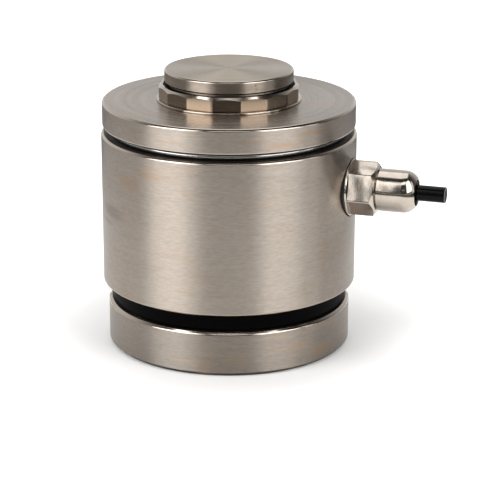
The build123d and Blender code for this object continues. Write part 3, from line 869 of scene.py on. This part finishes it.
# the underside is brushed like the wall, and the foot's edge gets the near-black steel: painted contact
# shade
for face in base.data.polygons:
    if face.normal.z < -0.2 and face.center.z < 2 * mm:
        face.material_index = 1 if face.center.z > 0.1 * mm else 0
print("base made")

# Cover plate
coverPiece = {
    "edge": 0.7 * mm,
    "round": 0.6 * mm,
    "small": 0.1 * mm,
    "neckExtra": 0.35 * mm,
    "wall": 5.4 * mm,
}


def makeCover(look):
    edge, soft, small = look["edge"], look["round"], look["small"]
    radius = halfWidth("cover_plate")
    neck = boreRadius + look["neckExtra"]
    plugRadius = halfWidth("clamp_ring")
    hollow = plugRadius - look["wall"]
    bore = stemRadius + 0.05 * mm
    disc = coverDiscLow
    outline = [
        (bore, coverHigh.z, small),
        (bore, disc, small),
        (hollow, disc, small),
        (hollow, coverLow.z, small),
        (plugRadius, coverLow.z, small),
        (plugRadius, housingHigh.z, small),
        (neck, housingHigh.z, small),
        (neck, disc, small),
        (radius - edge, disc, soft),
        (radius, disc + edge, soft),
        (radius, coverHigh.z - edge, soft),
        (radius - edge, coverHigh.z, soft),
    ]
    return turned("cover_disc", outline, segments=256)


cover = makeCover(coverPiece)
coverSteel = steelMaterial("brushedCoverSteel", brushedSteel["cover"], coverSpots)
coverFace = steelMaterial("turnedCoverFace", turnedFaces["cover"], coverSpots, rings=True)
dress(cover, coverSteel, "turned_steel", "cover_plate")
finishFaces(cover, coverFace, edgeSteel)
print("cover made")

# Rubber rings: the band above the base, the O-ring below the cover and the dust ring round the button
ringPieces = {"bandRound": 0.9 * mm, "dustRadius": 21.25 * mm, "dustRound": 0.3 * mm, "sectionSteps": 20}
# black rubber made near black and almost unreflecting, beyond real rubber: painted shade of the gaps the
# band and dust ring fill
gapShadeRubber = {"tone": 0.001, "dust": 0.002, "roughness": 0.5, "specular": 0.02}
bandRubberPaintedShade = rubberMaterial("bandRubberPaintedShade", gapShadeRubber)
greasedRubber = {
    "tone": 0.003, "dust": 0.005, "roughness": 0.18, "speckle": 0.02, "grain": 0.0,
    "specular": 1.0, "index": 2.7, "coat": 0.8,
}
ringRubber = rubberMaterial("ringRubber", greasedRubber)


def makeRing(name, node, inner, rounding):
    low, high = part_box(node)
    return turned(name, ringOutline(inner, halfWidth(node), low.z, high.z, rounding), steps=6)


def makeCoverRing(look):
    low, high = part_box("cover_ring")
    middle = (low.z + high.z) / 2
    section = (high.z - low.z) / 2
    centre = halfWidth("cover_ring") - section
    rows = []
    for i in range(look["sectionSteps"]):
        a = 2 * math.pi * i / look["sectionSteps"]
        rows.append((centre + section * math.cos(a), middle + section * math.sin(a)))
    return sweepRows("cover_o_ring", rows, 192)


footBand = makeRing("foot_band", "foot_seal", boreRadius, ringPieces["bandRound"])
dustRing = makeRing("dust_ring", "button_ring", ringPieces["dustRadius"], ringPieces["dustRound"])
# both rings wear the near-black rubber: painted gap shade
dress(footBand, bandRubberPaintedShade, "seal_rubber", "foot_seal")
dress(dustRing, bandRubberPaintedShade, "seal_rubber", "button_ring")
dress(makeCoverRing(ringPieces), ringRubber, "seal_rubber", "cover_ring")
print("rubber rings made")

# Washer, many-sided lock nut and loading button
nutPiece = {
    "facets": 16,
    "turn": 4.3,
    "rimExtra": 0.4 * mm,
    "wall": 1.8 * mm,
    "slopeWidth": 1.0 * mm,
    "slopeHeight": 1.2 * mm,
    "rimEdge": 0.25 * mm,
    "recess": 1.7 * mm,
    "footEdge": 0.4 * mm,
    "land": 0.06 * mm,
    "stepsPerFacet": 14,
}


def makeNut(look):
    low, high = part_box("lock_nut")
    rim = halfWidth("load_button") + look["rimExtra"]
    corner = rim + look["wall"]
    slopeStart = corner - look["slopeWidth"]
    pitch = look["slopeHeight"] / look["slopeWidth"]
    floor = high.z - look["recess"]
    bore = stemRadius + 0.05 * mm
    rows = [
        (bore, low.z, 0, 0),
        (corner - look["footEdge"], low.z, 1, 0),
        (corner, low.z + look["footEdge"], 1, 0),
        (corner, high.z - look["slopeHeight"], 1, pitch),
        (slopeStart, high.z, 0, 0),
        (rim + look["rimEdge"], high.z, 0, 0),
        (rim, high.z - look["rimEdge"], 0, 0),
        (rim, floor, 0, 0),
        (bore, floor, 0, 0),
    ]
    return facetedTurning("lock_ring_nut", rows, look, corner, nutSteel, sharpAngle=5.0)


washerPiece = {"play": 0.2 * mm, "round": 0.2 * mm}


def makeWasher(look):
    low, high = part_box("nut_washer")
    inner = stemRadius + look["play"]
    outline = ringOutline(inner, halfWidth("nut_washer"), low.z, high.z, look["round"])
    return turned("nut_washer_ring", outline)


buttonPiece = {
    "topEdge": 0.5 * mm,
    "topRound": 0.4 * mm,
    "underEdge": 0.5 * mm,
    "underRound": 0.3 * mm,
    "neckInset": 1.4 * mm,
    "head": 4.6 * mm,
    "spigot": 8 * mm,
    "small": 0.1 * mm,
}


def makeButton(look):
    low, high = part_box("load_button")
    radius = halfWidth("load_button")
    neck = radius - look["neckInset"]
    spigot = look["spigot"]
    under = high.z - look["head"]
    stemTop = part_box("sensing_column")[1].z
    small = look["small"]
    outline = [
        (0, low.z, 0),
        (spigot, low.z, small),
        (spigot, stemTop, small),
        (neck, stemTop, small),
        (neck, under, small),
        (radius - look["underEdge"], under, look["underRound"]),
        (radius, under + look["underEdge"], look["underRound"]),
        (radius, high.z - look["topEdge"], look["topRound"]),
        (radius - look["topEdge"], high.z, look["topRound"]),
        (0, high.z, 0),
    ]
    return turned("load_button_disc", outline, segments=224)


nutSteel = steelMaterial("turnedNutSteel", brushedSteel["nut"])
buttonSteel = steelMaterial("brushedButtonSteel", brushedSteel["button"], buttonSpots)
buttonFace = steelMaterial("turnedButtonFace", turnedFaces["button"], buttonTopSpots, rings=True)
dress(makeWasher(washerPiece), edgeSteel, "turned_steel", "nut_washer")
lockNut = dress(makeNut(nutPiece), nutSteel, "turned_steel", "lock_nut")
finishFaces(lockNut, edgeSteel, edgeSteel)
button = dress(makeButton(buttonPiece), buttonSteel, "turned_steel", "load_button")
finishFaces(button, buttonFace, edgeSteel)
print("nut and button made")

# Gland: gasket, body, cap and grommet about an axis along X
glandPiece = {
    "gasketPlay": 0.2 * mm,
    "gasketRound": 0.2 * mm,
    "flange": 0.7 * mm,
    "flangeFoot": 0.15 * mm,
    "flangeEdge": 0.2 * mm,
    "hexWidth": 16.7 * mm,
    "facets": 6,
    "turn": 16.0,
    "land": 0.12 * mm,
    "stepsPerFacet": 32,
    "slopeLength": 1.3 * mm,
    "endInset": 0.55 * mm,
    "endBefore": 0.12 * mm,
    "endAfter": 0.1 * mm,
    "neckLength": 8.0 * mm,
    "neckInset": 1.1 * mm,
    "neckEdge": 0.3 * mm,
    "threadRadius": 6.0 * mm,
    "threadEdge": 0.4 * mm,
    "tunnelPlay": 0.2 * mm,
    "capEdge": 0.3 * mm,
    "capWall": 1.05 * mm,
    "capRound": 0.08 * mm,
    "boreRound": 0.05 * mm,
    "domeLength": 4.4 * mm,
    "domeLand": 0.25 * mm,
    "domeSteps": 14,
    "lipSteps": 6,
    "lip": 3.6 * mm,
    "mouthRadius": 4.5 * mm,
}


def makeGasket(look):
    low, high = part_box("gland_gasket")
    inner = look["threadRadius"] + look["gasketPlay"]
    outline = ringOutline(inner, halfWidth("gland_gasket", "z"), low.x, high.x, look["gasketRound"])
    return turned("gland_gasket_ring", outline, 96, "X", glandAxisHeight)


def makeGlandBody(look):
    low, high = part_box("gland_body")
    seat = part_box("gland_gasket")[1].x
    flangeRadius = halfWidth("gland_body", "z")
    flangeEnd = seat + look["flange"]
    foot, rim = look["flangeFoot"], look["flangeEdge"]
    neckEnd = high.x
    hexEnd = neckEnd - look["neckLength"]
    corner = look["hexWidth"] / math.sqrt(3)
    endRadius = look["hexWidth"] / 2 - look["endInset"]
    neckRadius = halfWidth("gland_cap", "z") - look["neckInset"]
    socket = halfWidth("grommet", "z") + 0.05 * mm
    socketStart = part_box("grommet")[0].x
    tunnel = cableRadius + look["tunnelPlay"]
    slope = look["slopeLength"] / (corner - endRadius)
    thread = look["threadRadius"]
    rows = [
        (tunnel, low.x, 0, 0),
        (thread - look["threadEdge"], low.x, 0, 0),
        (thread, low.x + look["threadEdge"], 0, 0),
        (thread, seat, 0, 0),
        (flangeRadius - foot, seat, 0, 0),
        (flangeRadius, seat + foot, 0, 0),
        (flangeRadius, flangeEnd - rim, 0, 0),
        (flangeRadius - rim, flangeEnd, 0, 0),
        (corner, flangeEnd, 1, 0),
        (corner, hexEnd - look["slopeLength"], 1, slope),
        (endRadius + look["endBefore"], hexEnd - look["endBefore"] * slope, 0, 0),
        (endRadius - look["endAfter"], hexEnd, 0, 0),
        (neckRadius, hexEnd, 0, 0),
        (neckRadius, neckEnd - look["neckEdge"], 0, 0),
        (neckRadius - look["neckEdge"], neckEnd, 0, 0),
        (socket, neckEnd, 0, 0),
        (socket, socketStart, 0, 0),
        (tunnel, socketStart, 0, 0),
    ]
    return facetedTurning("gland_hex_body", rows, look, corner, glandNickel, height=glandAxisHeight)


def makeGlandCap(look):
    low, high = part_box("gland_cap")
    radius = halfWidth("gland_cap", "z")
    bore = radius - look["capWall"]
    shoulder = high.x - look["lip"]
    mouth = look["mouthRadius"]
    land = look["domeLand"]
    edge = look["capEdge"]
    soft, small = look["capRound"], look["boreRound"]
    length, drop = look["domeLength"], radius - mouth - land
    arcRadius = (length**2 + drop**2) / (2 * drop)
    reach = math.asin(length / arcRadius)
    corners = [(bore, low.x, small), (radius - edge, low.x, soft), (radius, low.x + edge, soft)]
    for i in range(look["domeSteps"] + 1):
        a = reach * i / look["domeSteps"]
        along = high.x - length + arcRadius * math.sin(a)
        corners.append((radius - arcRadius * (1 - math.cos(a)), along, 0))
    for i in range(1, look["lipSteps"] + 1):
        a = math.pi / 2 * i / look["lipSteps"]
        corners.append((mouth + land * (1 - math.sin(a)), high.x - land * (1 - math.cos(a)), 0))
    corners += [(mouth, shoulder, small), (bore, shoulder, small)]
    return sweepRows("gland_dome_cap", softOutline(corners), 144, "X", glandAxisHeight, sharpAngle=35.0)


grommetPiece = {"noseInset": 0.45 * mm, "play": 0.05 * mm}


def makeGrommet(look):
    low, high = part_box("grommet")
    outer = halfWidth("grommet", "z")
    nose = outer - look["noseInset"]
    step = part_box("slip_washer")[0].x - look["play"]
    inner = cableRadius + look["play"]
    outline = [
        (inner, low.x, 0.1 * mm),
        (outer, low.x, 0.3 * mm),
        (outer, step, 0.1 * mm),
        (nose, step, 0.05 * mm),
        (nose, high.x, 0.8 * mm),
        (inner, high.x, 0.3 * mm),
    ]
    return turned("grommet_sleeve", outline, 96, "X", glandAxisHeight, steps=6)


glandNickel = nickelMaterial("glandNickel", glandSpots)
glandRubber = rubberMaterial("glandRubber", {"tone": 0.004, "dust": 0.008, "roughness": 0.4})
dress(makeGasket(glandPiece), glandRubber, "seal_rubber", "gland_gasket")
dress(makeGlandBody(glandPiece), glandNickel, "gland_metal", "gland_body")
dress(makeGlandCap(glandPiece), glandNickel, "gland_metal", "gland_cap")
dress(makeGrommet(grommetPiece), glandRubber, "seal_rubber", "grommet")
print("gland made")

# Cable stub, cut off outside the gland
cablePiece = {"wall": 0.5 * mm, "cutRound": 0.12 * mm, "innerRound": 0.03 * mm}


def makeJacket(look):
    low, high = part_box("cable_jacket")
    inner = cableRadius - look["wall"]
    outline = ringOutline(inner, cableRadius, low.x, high.x, look["cutRound"], look["innerRound"])
    return turned("cable_sleeve", outline, 96, "X", glandAxisHeight)


plasticFinish = {"tone": 0.0015, "dust": 0.003, "roughness": 0.15, "grain": 0.001 * mm, "specular": 0.09}
jacketPlastic = rubberMaterial("jacketPlastic", plasticFinish)
# the cut end face gets a light grey copy of the black jacket plastic: painted highlight of the right-hand
# lamp on the rim
jacketCutHighlight = rubberMaterial("jacketCutHighlight", {"tone": 0.16, "dust": 0.26, "roughness": 0.6})
jacket = dress(makeJacket(cablePiece), jacketPlastic, "jacket", "cable_jacket")
jacket.data.materials.append(jacketCutHighlight)
for face in jacket.data.polygons:
    if face.normal.x > 0.6:
        face.material_index = 1

# The cut end: strands in each core, and the braid's wires
strandCopper = plainMaterial("strandCopper", (0.72, 0.40, 0.24), 0.28, 1.0, 2500.0, 0.2)
braidTin = plainMaterial("braidTin", (0.66, 0.65, 0.63), 0.3, 1.0, 2500.0, 0.2)
coreOffset = 0.7425 * mm
coreStrands = {
    "Count": 6,
    "Ring": 0.27 * mm,
    "Middle Wire": True,
    "Wire Radius": 0.12 * mm,
    "Length": 0.5 * mm,
    "Seed": 5,
    "Metal": strandCopper,
}
braidWires = {
    "Count": 60,
    "Ring": 2.15 * mm,
    "Middle Wire": False,
    "Wire Radius": 0.07 * mm,
    "Length": 0.5 * mm,
    "Seed": 11,
    "Metal": braidTin,
}
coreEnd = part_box("core_red")[1].x
coreCentres = [(y, z, coreEnd) for y in (-coreOffset, coreOffset) for z in (-coreOffset, coreOffset)]
screenCentre = (0, 0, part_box("cable_screen")[1].x)
dress(wireEnds("core_strands", coreCentres, coreStrands), strandCopper, "lead_copper")
dress(wireEnds("braid_ends", [screenCentre], braidWires), braidTin, "screen_braid")
print("cable made")

# Hidden pieces keep their own solids and get a finish of their own
hiddenFinishes = {
    "sensing_column": steelMaterial("columnSteel", {"tanAmount": 0.1}),
    "clamp_ring": steelMaterial("ringSteel", {"tanAmount": 0.1}),
    "diaphragm": steelMaterial("diaphragmSteel", {"tanAmount": 0.0, "roughness": 0.28}),
    "slip_washer": nickelMaterial("slipNickel"),
    "cable_screen": braidMaterial("screenBraid", braidLook),
}
plainFinishes = {
    "base_screws": ("screwSteel", (0.42, 0.41, 0.40), 0.35, 1.0),
    "board_screws": ("boardScrewSteel", (0.5, 0.5, 0.5), 0.3, 1.0),
    "cable_filler": ("fillerBlack", (0.03, 0.03, 0.03), 0.7),
    "core_red": ("coreRed", (0.5, 0.03, 0.02), 0.35),
    "core_black": ("coreBlack", (0.015, 0.015, 0.015), 0.35),
    "core_green": ("coreGreen", (0.02, 0.25, 0.06), 0.35),
    "core_white": ("coreWhite", (0.75, 0.75, 0.72), 0.35),
    "wiring_board": ("boardGreen", (0.015, 0.12, 0.045), 0.32),
    "board_pillars": ("pillarBrass", (0.62, 0.45, 0.18), 0.3, 1.0),
    "solder_pins": ("pinSolder", (0.6, 0.6, 0.58), 0.3, 1.0),
    "trim_resistors": ("resistorBlue", (0.1, 0.2, 0.4), 0.35),
}
for name, finish in plainFinishes.items():
    hiddenFinishes[name] = plainMaterial(*finish)
gaugeFoil = plainMaterial("gaugeFoil", (0.55, 0.30, 0.08), 0.3, 0.0, 900.0)
leadCopper = plainMaterial("leadCopper", (0.65, 0.32, 0.18), 0.3, 1.0)
for name in nodes:
    if "gauge_lead" in name:
        hiddenFinishes[name] = leadCopper
    elif "_gauge_" in name:
        hiddenFinishes[name] = gaugeFoil
for name, material in hiddenFinishes.items():
    nodes[name].data.materials.clear()
    nodes[name].data.materials.append(material)
print("hidden pieces finished")

# Floor, lamps and the room's own light
floorLook = {
    "size": 6.0,
    "height": -0.05 * mm,
    "color": (0.89, 0.89, 0.885),
    "fleck": 0.985,
    "fleckScale": 3.0,
    "roughness": 0.9,
    "specular": 0.2,
    "glowFrom": 0.045,      # from here out the floor shows as plain white, and its shadow stays nearer in
    "glowTo": 0.10,
    "glow": 0.46,
    "glowNear": 0.02,
}
lampDistance = 1.05         # unless a lamp gives its own
lampAim = 0.05
lamps = {
    "leftBox": {"azimuth": -38.5, "bottom": 0.13, "width": 0.68, "tall": 1.75, "radiance": 4.7},
    "rightCard": {"azimuth": 97.0, "bottom": 0.03, "width": 0.20, "tall": 0.9, "radiance": 1.5},
    "leftFill": {"azimuth": -15.0, "bottom": 0.17, "width": 0.16, "tall": 1.5, "radiance": 2.5},
    "rightBox": {"azimuth": 66.5, "bottom": 0.18, "width": 0.76, "tall": 1.7, "radiance": 3.85},
    "frontStrip": {"azimuth": 18.0, "height": 0.50, "width": 0.40, "tall": 0.16, "radiance": 0.3},
    "frontBox": {
        "azimuth": 18.0, "distance": 0.52, "height": 0.90, "width": 0.5, "tall": 0.24, "radiance": 2.6,
    },
    "topBox": {
        "azimuth": 198.0, "distance": 0.5, "height": 1.3, "width": 1.1, "tall": 1.1, "radiance": 1.7,
    },
}
roomLight = {
    "front": 0.07,          # the room is dark on the camera's side and bright behind
    "back": 0.85,
    "darkSide": 35.0,
    "turnRange": (-0.85, 0.20),
    "overhead": 0.35,
    "heightRange": (0.5, 0.85),
    "camera": 1.0,
}
# A ring of black cloth round the stand, seen only in reflections, keeps the white floor out of them
darkRing = {"near": 0.25, "far": 1.00, "under": 0.001, "height": 0.002, "segments": 96}


def makeFloor(look):
    half = look["size"] / 2
    level = look["height"]
    corners = [(-half, -half, level), (half, -half, level), (half, half, level), (-half, half, level)]
    mesh = bpy.data.meshes.new("floor")
    mesh.from_pydata(corners, [], [(0, 1, 2, 3)])
    floor = placed("floor", mesh)
    material, start, shader = newMaterial("floorPaper")
    place = objectPlace(start)
    white = look["color"]
    fleck = rgb(*[c * look["fleck"] for c in white])
    plug(place.noise(look["fleckScale"], 2.0).mixed(fleck, rgb(*white)), shader, "Base Color")
    shader.inputs["Roughness"].default_value = look["roughness"]
    shader.inputs["Specular IOR Level"].default_value = look["specular"]
    x, y = place.parts()[:2]
    away = (x * x + y * y).math("SQRT")
    rays = start.node("ShaderNodeLightPath").socket.node.outputs
    seen = Wire(start.tree, rays["Is Camera Ray"])
    for kind in ("Is Glossy Ray", "Is Transmission Ray"):
        seen = seen.math("MAXIMUM", Wire(start.tree, rays[kind]))
    glow = away.remap(look["glowFrom"], look["glowTo"], look["glowNear"], look["glow"]) * seen
    shine = start.node("ShaderNodeEmission", None, {"Color": rgb(1, 1, 1), "Strength": glow})
    lit = Wire(start.tree, shader.outputs[0])
    both = start.node("ShaderNodeAddShader", None, {0: lit, 1: shine})
    out = [node for node in start.tree.nodes if node.type == "OUTPUT_MATERIAL"][0]
    plug(both, out, "Surface")
    mesh.materials.append(material)


def makeLamp(name, look):
    data = bpy.data.lights.new(name, "AREA")
    data.shape = "RECTANGLE"
    data.size = look["width"]
    data.size_y = look["tall"]
    data.energy = look["radiance"] * math.pi * look["width"] * look["tall"]
    lamp = placed(name, data)
    height = look["height"] if "height" in look else look["bottom"] + look["tall"] / 2
    lamp.location = heading(look["azimuth"]) * look.get("distance", lampDistance) + Vector((0, 0, height))
    aim = Vector((0, 0, lampAim)) - lamp.location
    if "bottom" in look:
        aim.z = 0.0
    lamp.rotation_mode = "QUATERNION"
    lamp.rotation_quaternion = aim.to_track_quat("-Z", "Y")


def makeDarkRing(look):
    near, far, under, top = look["near"], look["far"], look["under"], look["height"]
    rows = [(near, top), (far, top), (far, under), (near, under)]
    ring = sweepRows("dark_ring", rows, look["segments"])
    ring.data.materials.append(plainMaterial("clothBlack", (0.01, 0.01, 0.01), 0.9))
    ring.visible_camera = False
    ring.visible_diffuse = False
    ring.visible_shadow = False


def makeRoom(look):
    world = bpy.data.worlds.new("room")
    bpy.context.scene.world = world
    world.use_nodes = True
    tree = world.node_tree
    tree.nodes.clear()
    start = Wire(tree)
    direction = Wire(tree, start.node("ShaderNodeTexCoord").socket.node.outputs["Generated"])
    towards = direction.vector("DOT_PRODUCT", heading(look["darkSide"]), out=1)
    rays = start.node("ShaderNodeLightPath").socket.node.outputs
    shade = towards.remap(*look["turnRange"], look["back"], look["front"])
    gray = shade * direction.parts()[2].remap(*look["heightRange"], 1.0, look["overhead"])
    color = gray.joined(gray, gray)
    lit = start.node("ShaderNodeBackground", None, {"Color": color, "Strength": 1.0})
    seen = start.node("ShaderNodeBackground", None, {"Color": rgb(1, 1, 1), "Strength": look["camera"]})
    fromCamera = Wire(tree, rays["Is Camera Ray"])
    both = start.node("ShaderNodeMixShader", None, {0: fromCamera, 1: lit, 2: seen})
    start.node("ShaderNodeOutputWorld", None, {"Surface": both})


makeFloor(floorLook)
for lampName, lampLook in lamps.items():
    makeLamp(lampName, lampLook)
makeDarkRing(darkRing)
makeRoom(roomLight)
bpy.context.scene.view_settings.view_transform = "Standard"
print("stage and lights made")
